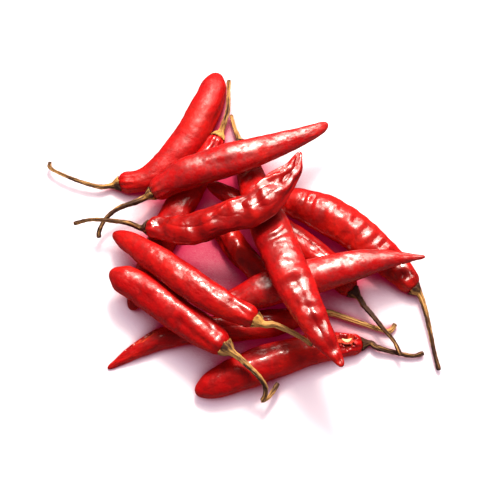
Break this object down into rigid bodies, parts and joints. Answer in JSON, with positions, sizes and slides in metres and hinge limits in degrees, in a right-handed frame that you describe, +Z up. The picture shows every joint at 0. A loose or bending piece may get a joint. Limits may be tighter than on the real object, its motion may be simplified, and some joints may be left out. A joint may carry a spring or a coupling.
{
  "type": "heap of dried chillies",
  "caption": "Loose heap of whole dried red chillies with their stalks, lying across one another on a flat surface.",
  "frame": {"origin": "on the table under the middle of the heap", "axes": "+Z up from the table, +X to the right along the heap's longest side, +Y to the back"},
  "size_m": [0.1585, 0.1457, 0.0315],
  "materials": {
    "pod_skin": "dry glossy wrinkled skin",
    "stalk": "dry ribbed stalk, matte",
    "seed": "dry pale seed, matte"
  },
  "bodies": {
    "root": {"pod_back_left": "pod_skin", "pod_back_end": "pod_skin", "pod_middle_long": "pod_skin", "pod_right_fat": "pod_skin", "pod_middle_short": "pod_skin", "pod_front_thin": "pod_skin", "pod_front_torn": "pod_skin", "pod_right_top": "pod_skin", "pod_long_cross": "pod_skin", "pod_left_thin": "pod_skin", "pod_left_fat": "pod_skin", "pod_top_twisted": "pod_skin", "pod_top_back": "pod_skin", "stalk_back_left": "stalk", "stalk_back_end": "stalk", "stalk_middle_long": "stalk", "stalk_right_fat": "stalk", "stalk_middle_short": "stalk", "stalk_front_thin": "stalk", "stalk_front_torn": "stalk", "stalk_right_top": "stalk", "stalk_long_cross": "stalk", "stalk_left_thin": "stalk", "stalk_left_fat": "stalk", "stalk_top_twisted": "stalk", "stalk_top_back": "stalk", "seed": "seed"}
  },
  "joints": []
}
